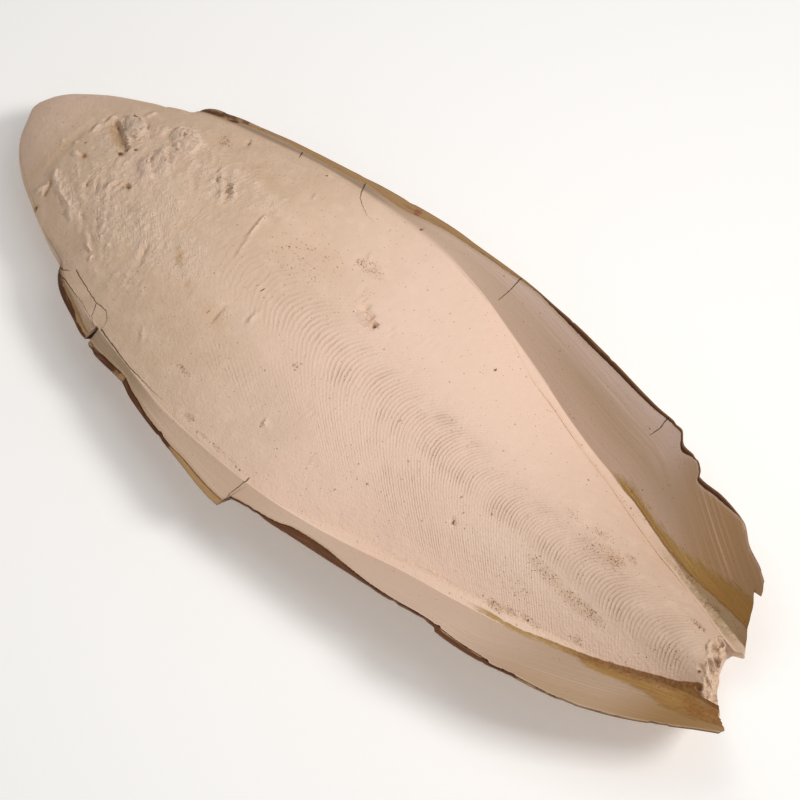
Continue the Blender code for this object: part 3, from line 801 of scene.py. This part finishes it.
# the rim is ragged, and never goes outside its line
ragged = (0.1 * ramp(grainC.at(px, py, 7), -0.6, 0.8)
          + 0.3 * ramp(grainB.at(px, py, 2.3, 2), 0.25, 0.9)) * ramp(px, -70, -60)
py -= side * ragged * (rimGap < 0.6)

faces = []


def joinColumns(a, b):
    # the wider cells have extra points on the side where rows are closer
    wide = max(skin.columns[a][0], skin.columns[b][0])
    rows = (skin.columns[a][2] - 1) * skin.columns[a][0]
    for r in range(0, rows, wide):
        left, right = ([start + (r + k) // stride for k in range(0, wide + 1, stride)]
                       for stride, start, _ in (skin.columns[a], skin.columns[b]))
        faces.append(left + right[::-1])


def closeEnd(last):
    ends = [start + (length - 1 if last else 0) for _, start, length in skin.columns]
    top, bottom = ends[:topColumns], ends[topColumns:][::-1]
    i = j = 0
    while i < len(top) - 1 or j < len(bottom) - 1:
        topNext = (i + 1) * len(bottom) <= (j + 1) * len(top)
        if j == len(bottom) - 1 or (i < len(top) - 1 and topNext):
            face = [top[i], top[i + 1], bottom[j]]
            i += 1
        else:
            face = [top[i], bottom[j + 1], bottom[j]]
            j += 1
        faces.append(face if last else face[::-1])


for c in range(len(skin.columns)):
    joinColumns(c, (c + 1) % len(skin.columns))
closeEnd(False)
closeEnd(True)

boneMesh = bpy.data.meshes.new("bone")
places = np.stack([(px - originX) * mm, (py - originY) * mm, (pz + tableZ) * mm], 1)
boneMesh.from_pydata(places.tolist(), [], faces)
boneMesh.update()
boneMesh.polygons.foreach_set("use_smooth", np.ones(len(boneMesh.polygons), bool))
boneMesh.set_sharp_from_angle(angle=math.radians(50))
bone = bpy.data.objects.new("bone", boneMesh)
bpy.context.scene.collection.objects.link(bone)
print("cuttlebone: bone has", sum(len(face) - 2 for face in faces), "triangles")


def roundStains(stains):
    return softField(px, py, [(x, y, r, r, 0, 1) for x, y, r in stains], 0.3, 1)


def speckClouds():
    clouds = [(x, y, length, width, 0, thick) for x, y, length, width, thick in dirt["clouds"]]
    return np.maximum(softField(px, py, clouds, 0.35, 1.15), dirt["everywhere"])


# what the finish reads at each point
kept = {
    "wing": wing, "line": line, "fold": fold, "fibre": fibre, "farSide": side > 0,
    "under": isUnder, "tear": tear, "rimGap": rimGap, "band": band, "bandTone": bySide(bandTone),
    "stripFrom": fold - bySide(stripFrom), "stripTo": bySide(stripTo) - fold,
    "layers": layers, "layerShow": layerShow, "across": layerOff, "worn": worn, "carved": carved,
    "spots": roundStains(dirt["spots"]) * ~isUnder, "clouds": speckClouds() * ~isUnder,
    "smears": softField(px, py, dirt["smears"], 0.3, 1.2) * ~isUnder,
    "rust": roundStains([dirt["rust"]]),
}
for name, lines in cracks.items():
    off, width = crackField(px, py, lines)
    kept.update({name: off, name + "Width": width * ~isUnder})
for name, values in kept.items():
    made = boneMesh.attributes.new(name, "FLOAT", "POINT")
    made.data.foreach_set("value", np.asarray(values, np.float32))


def inBothOrders(operation):
    def forward(wire, other):
        return wire.finish.maths(operation, wire, other)

    def backward(wire, other):
        return wire.finish.maths(operation, other, wire)

    return forward, backward


class Wire:
    # a socket that adds Math nodes when it is used in a sum
    def __init__(self, finish, socket):
        self.finish, self.socket = finish, socket

    __add__, __radd__ = inBothOrders("ADD")
    __sub__, __rsub__ = inBothOrders("SUBTRACT")
    __mul__, __rmul__ = inBothOrders("MULTIPLY")
    __truediv__, __rtruediv__ = inBothOrders("DIVIDE")

    def __abs__(self):
        return self.finish.maths("ABSOLUTE", self)


def tone(color):
    # a colour as seen on screen, turned into the linear one that a shader takes
    shares = [c / 255 for c in color]
    return (*(c / 12.92 if c <= 0.04045 else ((c + 0.055) / 1.055) ** 2.4 for c in shares), 1)


class Finish:
    # a material; a socket takes a wire, a plain value or the name of a colour in its look
    def __init__(self, name, look):
        self.material = bpy.data.materials.new(name)
        self.material.use_nodes = True
        self.tree = self.material.node_tree
        self.look = {part: tone(color) for part, color in look.items()}

    def feed(self, sockets, values):
        for name, value in values.items():
            if isinstance(value, Wire):
                self.tree.links.new(value.socket, sockets[name])
            else:
                sockets[name].default_value = self.look[value] if isinstance(value, str) else value

    def shade(self, values):
        self.feed(self.tree.nodes["Principled BSDF"].inputs, values)

    def node(self, kind, settings, values, output=0):
        made = self.tree.nodes.new(kind)
        for name, value in settings.items():
            setattr(made, name, value)
        self.feed(made.inputs, values)
        return Wire(self, made.outputs[output])

    def maths(self, operation, *values):
        return self.node("ShaderNodeMath", {"operation": operation}, dict(enumerate(values)))

    def larger(self, a, b):
        return self.maths("MAXIMUM", a, b)

    def kept(self, name):
        return self.node("ShaderNodeAttribute", {"attribute_name": name}, {}, "Fac")

    def rise(self, value, start, end):
        return self.node("ShaderNodeMapRange", {"interpolation_type": "SMOOTHSTEP"},
                         {"Value": value, "From Min": start, "From Max": end})

    def part(self, vector, axis):
        return self.node("ShaderNodeSeparateXYZ", {}, {0: vector}, axis)

    def vector(self, x, y, z):
        return self.node("ShaderNodeCombineXYZ", {}, {0: x, 1: y, 2: z})

    def noise(self, place, scale, detail=2, rough=0.5):
        return self.node("ShaderNodeTexNoise", {}, {"Vector": place, "Scale": scale,
                                                    "Detail": detail, "Roughness": rough}, "Fac")

    def cells(self, place, scale):
        # distance to the middle of a cell, and the cell's own random colour
        away = self.node("ShaderNodeTexVoronoi", {}, {"Vector": place, "Scale": scale}, "Distance")
        return away, Wire(self, away.socket.node.outputs["Color"])

    def coats(self, color, *coats):
        # each coat is a mask and the colour that it lays over the ones before
        for mask, over in coats:
            color = self.node("ShaderNodeMix", {"data_type": "RGBA"}, {0: mask, 6: color, 7: over}, 2)
        return color


boneLook = {
    "cream": (233, 202, 182), "tanAndShade": (211, 182, 156), "worn": (240, 211, 188),
    "chalkAndPaintedLight": (238, 210, 190), "tail": (208, 179, 157), "grooveShade": (204, 169, 145),
    "hair": (212, 174, 140), "ochre": (190, 152, 106), "dirtTint": (186, 150, 120),
    "farInner": (199, 171, 150), "farMiddle": (187, 158, 132), "farOuter": (209, 183, 168),
    "farEdge": (172, 136, 99), "farFront": (158, 132, 110), "near": (200, 175, 156),
    "nearMiddle": (190, 163, 142), "nearFront": (156, 132, 108), "nearTail": (181, 154, 130),
    "nearEdge": (178, 149, 120), "nearEnd": (152, 118, 76), "thread": (220, 194, 176),
    "seam": (140, 112, 88), "stripLight": (186, 150, 88), "stripDark": (158, 122, 68),
    "stripBrown": (160, 118, 62), "stripGrey": (176, 150, 118), "stain": (136, 90, 46),
    "blot": (98, 60, 32), "amber": (168, 132, 92), "brown": (88, 52, 28), "rim": (150, 116, 84),
    "fringe": (176, 146, 110), "speck": (118, 74, 44), "crack": (84, 56, 38), "pit": (146, 102, 66),
    "rust": (140, 84, 60), "fracture": (238, 207, 180), "shield": (226, 200, 178),
    "horn": (150, 112, 70),
}


def readSurface(f):
    # the wires that several coats share: places in mm, what each point keeps, and noise
    on = SimpleNamespace(**{name: f.kept(name) for name in kept})
    on.place = f.node("ShaderNodeVectorMath", {"operation": "SCALE"}, {
        0: f.node("ShaderNodeTexCoord", {}, {}, "Object"), "Scale": 1 / mm})
    on.x, on.y = f.part(on.place, "X"), f.part(on.place, "Y")
    on.fine = f.noise(on.place, 2.2, 3)
    on.mottle = f.noise(on.place, 0.3, 4, 0.6)
    on.crumbs = f.noise(on.place, 1.3, 5, 0.7)
    on.nearSide = 1 - on.farSide
    on.nearFront = on.nearSide * f.rise(on.x, -40, -46)
    on.brown = f.rise((on.band + (on.fine - 0.5) * 0.35) / (0.08 + 0.7 * on.nearFront), -0.8, 1)
    return on


# the looks from here on give a colour, laid over the one so far, and what they add to the relief
def bodyLook(f, on):
    x, y, place, across = on.x, on.y, on.place, on.across
    # tan towards the nose, partly the bone's own tone and partly painted shade; painted shade dulls the
    # tail on its far side, and painted light makes the near flank pale
    nearSlope = f.rise(across, -1.5, -7)
    front = x + (f.noise(place, 0.05) - 0.5) * 40 - f.rise(across, -8, -18) * 14
    # ground scraped to the paler layers below, with ropes along the strokes
    turn = math.radians(damage["strokeTurn"])
    along = x * math.cos(turn) + y * math.sin(turn)
    beside = y * math.cos(turn) - x * math.sin(turn)
    torn = on.worn + (f.noise(place, 0.9, 5, 0.65) - 0.5) * 1.1
    torn = f.rise(torn, 0.15, 0.5) * f.rise(on.worn, 0, 0.2)
    ropy = f.noise(f.vector(along * 0.4, beside * 1.5, 0), 1, 4, 0.65)
    ropy = f.maths("MINIMUM", abs(ropy - 0.5) * 5, 1)
    carved = on.carved + (f.noise(place, 1.6, 4, 0.65) - 0.5) * 0.3
    # the growth lines, and the thin line along the body's edge
    wave = 1 - 2 * abs(f.maths("SINE", (on.layers + (f.noise(place, 0.8) - 0.5) * 0.5) * math.pi))
    streaky = f.noise(f.vector(on.layers * 0.8, across * 0.12, 0), 1, 3)
    wave = wave * (0.5 + f.rise(streaky, 0.25, 0.75)) * on.layerShow
    hair = (1 - f.rise(abs(on.line - 0.1), 0.1, 0.75)) * f.rise(x, 12, 30)
    color = f.coats(
        "cream",
        # tan towards the nose and the near front flank: partly the bone's own tone, partly painted
        # shade on slopes turned from the light
        (f.rise(front, 0, -48) * (0.55 + 0.45 * f.rise(x, -88, -76)), "tanAndShade"),
        (torn * f.rise(x, -10, -40) * (0.35 + 0.45 * ropy), "worn"),
        # painted highlight on the raised carved relief, and painted shade in its hollows
        (f.rise(carved, 0.02, 0.4) * f.rise(x, 8, -4) * 0.8, "worn"),
        (f.rise(carved, -0.15, -0.6) * f.rise(x, -5, -20) * 0.4, "tanAndShade"),
        # painted shade darkens the tail on its far side, and painted light pales the near flank towards
        # the tail
        (f.rise(x, 18, 74) * (1 - nearSlope * 0.9), "tail"),
        (f.rise(x, 20, 45) * nearSlope * 0.8, "chalkAndPaintedLight"),
        (f.rise(on.mottle, 0.45, 0.7) * 0.25, "chalkAndPaintedLight"),
        # painted shade in the growth lines' troughs and a painted highlight along their crests
        (f.rise(wave, -0.2, -1) * 0.25, "grooveShade"),
        (f.rise(wave, 0.1, 0.9) * 0.4, "chalkAndPaintedLight"),
        (on.smears * (0.6 + 0.8 * f.noise(place, 1.1, 3)) * 0.6, "ochre"),
        (hair * f.rise(on.fine, 0.2, 0.8) * 0.5, "hair"))
    smooth = f.rise(across, 4, 12) * f.rise(x, -45, -25)
    dimples = f.noise(place, 1.6, 5, 0.7) * (1 - on.wing) * (0.2 - 0.14 * smooth)
    return color, (wave * 0.07 + f.noise(place, 4.5, 4, 0.65) * 0.05 + dimples
                   + torn * (ropy * 0.15 + on.crumbs * 0.16 - 0.1)
                   + f.rise(carved, 0.1, 0.5) * on.crumbs * 0.3)


def fibreCombs(f, on):
    # a few stronger fibres side by side, each with its place and strength
    combs = 0
    for off, strength in ((0, 1), (-0.8, 0.5), (0.9, 0.45), (1.7, 0.4), (-1.9, 0.25)):
        comb = (1 - f.rise(abs(on.fibre - off + (on.fine - 0.5) * 0.12), 0.05, 0.22)) * strength
        combs = f.larger(combs, comb)
    return combs * f.rise(on.x, 57, 61) * f.rise(on.x, 77, 70) * f.rise(on.wing, 0.15, 0.3)


def wingLook(f, on, color):
    x, wing = on.x, on.wing
    threads = f.noise(f.vector(x * 0.05, on.fibre * 1.9, on.farSide * 40), 1, 4, 0.6)
    uneven = wing + (threads - 0.5) * 0.3
    far = f.coats(
        "farInner",
        (f.rise(uneven, 0.05, 0.5) * f.rise(x, 5, 40), "farMiddle"),
        (f.rise(uneven, 0.45, 0.9) * f.rise(x, 58, 48), "farOuter"),
        (f.rise(x + wing * 10, 58, 74), "farEdge"),
        (f.rise(x, -12, -34), "farFront"))
    near = f.coats(
        "near",
        (f.rise(x, 12, -2), "nearMiddle"),
        (f.rise(x, 42, 66), "nearTail"),
        (f.rise(x, 40, 74) * f.rise(wing, 0.35, 0.9), "nearEdge"),
        (f.rise(x, 72, 86), "nearEnd"),
        (f.rise(x, -20, -36) * f.rise(x, -52, -46), "nearFront"))
    ends = 0.1 + 0.35 * f.rise(wing, 0.35, 0.8) * f.rise(x, 60, 45) + 0.3 * f.rise(x, -5, -30)
    combs = fibreCombs(f, on)
    wings = f.coats(
        near,
        (on.farSide, far),
        (f.rise(threads, 0.5, 0.7) * ends, "thread"),
        (f.rise(threads, 0.46, 0.3) * (0.1 + 0.45 * f.rise(x, -18, -38)), "seam"),
        (combs * 0.28, "thread"))
    soft = 0.02 + 0.16 * f.rise(x, 6, -18) * on.farSide + 0.12 * f.rise(x, 2, -30)
    shown = f.rise(wing / soft, 0, 1) * f.rise(x, -71, -66)
    return f.coats(color, (shown, wings)), combs * 0.05 + threads * f.rise(wing, 0, 0.1) * 0.06


def stripLook(f, on, color):
    # the stained strips along the folds, and greyed ground inside the far one
    x, inner, crumbs = on.x, on.stripFrom, on.crumbs
    wobble = (f.noise(on.place, 0.9, 3) - 0.5) * 0.5
    inside = f.rise(inner + wobble, -0.1, 0.2)
    strands = f.noise(f.vector(x * 0.06, on.fold * 2, on.farSide * 40), 1, 5, 0.65)
    frayed = on.stripTo + wobble * 2 + (strands - 0.5) * 3
    shown = inside * f.rise(frayed, -0.5, 0.6) * f.rise(x, 40, 47)
    stain = f.rise(inner + (f.noise(on.place, 0.6, 4) - 0.5) * 4, 2.6, 0.8) * f.rise(x, 58, 66)
    stain = f.larger(stain, f.rise(x + (on.mottle - 0.5) * 16, 78, 88) * 0.9) * on.nearSide
    blots = f.rise(crumbs + f.rise(inner, 3, 0.5) * 0.06, 0.56, 0.64) * stain
    edgeLine = (1 - f.rise(abs(inner - 0.1 + wobble), 0.05, 0.3)) * on.farSide
    rubbed = f.rise(crumbs + (on.mottle - 0.5) * 0.5, 0.5, 0.6) * f.rise(inner, 2.6, 0.4)
    strips = f.coats(
        "stripDark",
        (f.rise(strands, 0.35, 0.65), "stripLight"),
        (f.rise(x, 64, 76) * on.farSide * 0.8, "stripBrown"),
        (stain * (0.45 + f.rise(crumbs, 0.35, 0.6) * 0.55), "stain"),
        (blots * f.rise(x, 64, 74) * 0.8, "blot"),
        (edgeLine * 0.6, "stain"),
        (rubbed * f.rise(x, 52, 62) * on.nearSide * 0.7, "stain"),
        (f.rise(x, 60, 76) * on.nearSide * 0.35, "stain"))
    grey = f.rise(on.line, 0.3, 0.8) * (1 - inside) * f.rise(x, 54, 72) * on.farSide
    grey = grey * (1 - 0.6 * f.rise(x, 79, 83))
    color = f.coats(
        color,
        (grey * (0.35 + 0.9 * f.rise(crumbs, 0.3, 0.62)), "stripGrey"),
        (grey * f.rise(crumbs, 0.4, 0.3) * 0.5, "chalkAndPaintedLight"),
        (grey * f.rise(crumbs, 0.6, 0.66) * 0.6, "stain"),
        (shown * 0.95, strips))
    return color, shown * (strands * 0.12 + crumbs * 0.15) + grey * crumbs * 0.3


def rimLook(f, on, color):
    # the brown outer layer, with a lighter fringe inside it, and a painted highlight along the step at
    # its inner edge towards the tail
    x, band = on.x, on.band
    deeper = (f.rise(band, 0.2, 1.2) - 0.6) * on.nearFront * 0.7
    patches = f.noise(on.place, 0.55, 3)
    grainy = f.noise(f.vector(x * 0.25, band * 2.4, on.farSide * 9), 1, 4, 0.65)
    brown = f.coats(
        "amber",
        (f.rise(patches + (on.bandTone - 0.5) * 0.9 + deeper, 0.36, 0.64), "brown"),
        (f.rise(grainy, 0.5, 0.8) * 0.45, "amber"),
        (f.rise(grainy, 0.5, 0.3) * 0.3, "brown"),
        (f.rise(on.rimGap, 0.4, 0.1) * on.farSide * 0.6, "rim"))
    near = f.rise(band, noBand, noBand + 1)
    fringe = f.rise(band + (on.fine - 0.5) * 0.6, -0.8, -0.2) * near
    color = f.coats(
        color,
        (fringe * 0.45 * f.rise(x, 40, 20), "fringe"),
        # painted highlight along the top of the step where the wing's layer ends
        (f.rise(band, -0.45, -0.15) * near * f.rise(x, 15, 30) * 0.5, "farOuter"),
        (on.brown, brown))
    return color, grainy * on.brown * 0.15 - fringe * 0.05


def breakLook(f, on, color):
    # the broken tail
    lumps = f.noise(on.place, 0.8, 5, 0.65)
    color = f.coats(
        color,
        (on.tear, "fracture"),
        (on.tear * f.rise(lumps, 0.44, 0.36) * 0.6, "pit"))
    return color, on.tear * lumps * 0.9


def underLook(f, on, color):
    # the table side: chalky, with a horny margin
    margin = f.rise(on.rimGap + (on.mottle - 0.5) * 4, 4.5, 0.5) * f.rise(on.x, -72, -52)
    shield = f.coats(
        "shield",
        (margin, "horn"),
        (f.rise(on.rimGap, 0.9, 0.2) * f.rise(on.x, -61, -56), "brown"))
    return f.coats(color, (on.under, shield)), f.cells(on.place, 1.1)[0] * on.under * -0.22


def dirtLook(f, on, color):
    # specks, thick in the clouds, and stains
    place, clouds, crumbs, tear, top = on.place, on.clouds, on.crumbs, on.tear, 1 - on.under
    specks, rough = 0, (f.noise(place, 4) - 0.5) * 0.3
    for scale, size, most in ((1.1, 0.2, 0.45), (2.3, 0.26, 0.75), (3.9, 0.3, 0.9)):
        away, chance = f.cells(place, scale)
        there = f.rise(f.part(chance, "X") - clouds * most, 0.02, -0.02)
        dot = f.rise(away - size * (0.3 + 1.2 * f.part(chance, "Y")) - rough, 0.04, -0.1)
        specks = f.larger(specks, dot * there)
    blots = f.rise(f.noise(place, 2.2, 5, 0.7) + clouds * 0.14, 0.64, 0.72)
    specks = f.larger(specks, blots * f.rise(clouds, 0.15, 0.4)) * top
    stained = on.spots + (f.noise(place, 2.2, 4, 0.65) - 0.5) * 1.2
    stained = f.rise(stained, 0.15, 0.85) * f.rise(on.spots, 0, 0.2)
    stained = stained * (0.5 + 0.7 * f.rise(crumbs, 0.35, 0.6)) * (1 - 0.45 * tear)
    crumbly = tear * f.rise(crumbs, 0.54, 0.66) * f.rise(f.noise(place, 0.5, 3), 0.42, 0.6)
    color = f.coats(
        color,
        (f.rise(clouds, 0.1, 0.7) * top * f.rise(crumbs, 0.35, 0.65) * 0.4, "dirtTint"),
        (specks * 0.8, "speck"),
        (stained, "pit"),
        (f.rise(stained, 0.7, 1.1) * 0.6, "brown"),
        (crumbly * 0.8, "stain"),
        (f.rise(on.rust + (on.fine - 0.5) * 0.8, 0.3, 0.8) * 0.7, "rust"))
    return color, tear * stained * -0.3


def crackLook(f, on, color):
    split, jitter = 0, (f.noise(on.place, 1.2, 3) - 0.5) * 0.4
    for name in cracks:
        width = f.larger(getattr(on, name + "Width"), 0.001)
        off = abs(getattr(on, name) + jitter)
        split = f.larger(split, (1 - f.rise(off / width, 0.3, 1.1)) * f.rise(width, 0.02, 0.08))
    return f.coats(color, (split * 0.8, "crack")), split * -0.2


def boneFinish():
    f = Finish("bone", boneLook)
    on = readSurface(f)
    color, relief = bodyLook(f, on)
    for look in (wingLook, stripLook, rimLook, breakLook, underLook, dirtLook, crackLook):
        color, added = look(f, on, color)
        relief = relief + added
    bump = f.node("ShaderNodeBump", {}, {"Strength": 1, "Distance": mm, "Height": relief})
    f.shade({"Base Color": color, "Roughness": 0.85 - 0.25 * on.brown * (1 - on.under),
             "Specular IOR Level": 0.2, "Normal": bump})
    return f.material


boneMesh.materials.append(boneFinish())
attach(bone, "root")
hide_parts("cuttlebone")
print("cuttlebone: finishes made")

stage = {
    "floor": (248, 247, 246), "glow": 0.12, "floorSize": 4, "worldColor": (1, 0.985, 0.965, 1),
    "world": 0.42, "key": 4, "keySize": 0.26, "keyAway": 0.9, "keyFrom": (0.60, 0.36, 0.71),
    "lampColor": (1, 0.985, 0.96),
    "overhead": 0.055, "overheadSize": 0.1, "overheadAt": (0.012, 0.015, 0.165),
    "right": (0.72433, 0.68946, 0), "back": (0.34473, -0.36217, 0.86603),
    "target": (0.00557, 0.00263, 0.01137), "distance": 0.6, "lens": 145.9, "sensor": 36,
}


def makeLamp(name, place, turn, energy, size):
    light = bpy.data.lights.new(name, "AREA")
    light.energy, light.size, light.color = energy, size, stage["lampColor"]
    lamp = bpy.data.objects.new(name, light)
    lamp.location = place
    lamp.rotation_euler = turn
    bpy.context.scene.collection.objects.link(lamp)


def makeStage():
    bpy.ops.mesh.primitive_plane_add(size=stage["floorSize"], location=(0, 0, low.z))
    floor = bpy.context.object
    floor.name = "floor"
    f = Finish("floor", {"floor": stage["floor"]})
    f.shade({"Base Color": "floor", "Roughness": 0.9, "Emission Color": "floor",
             "Emission Strength": stage["glow"]})
    floor.data.materials.append(f.material)
    world = bpy.data.worlds.new("studio")
    world.use_nodes = True
    sky = world.node_tree.nodes["Background"]
    sky.inputs["Color"].default_value = stage["worldColor"]
    sky.inputs["Strength"].default_value = stage["world"]
    bpy.context.scene.world = world
    away = Vector(stage["keyFrom"]).normalized()
    makeLamp("key", away * stage["keyAway"], away.to_track_quat("Z", "Y").to_euler(),
             stage["key"], stage["keySize"])
    makeLamp("overhead", stage["overheadAt"], (0, 0, 0), stage["overhead"],
             stage["overheadSize"])
    bpy.context.scene.view_settings.view_transform = "Standard"


def makeCamera():
    right, back = Vector(stage["right"]).normalized(), Vector(stage["back"]).normalized()
    data = bpy.data.cameras.new("camera")
    data.lens, data.sensor_width, data.clip_start = stage["lens"], stage["sensor"], 0.01
    camera = bpy.data.objects.new("camera", data)
    turn = Matrix((right, back.cross(right), back)).transposed().to_4x4()
    spot = Vector(stage["target"]) + back * stage["distance"]
    camera.matrix_world = Matrix.Translation(spot) @ turn
    bpy.context.scene.collection.objects.link(camera)
    bpy.context.scene.camera = camera


makeStage()
makeCamera()
print("cuttlebone: stage and camera made")
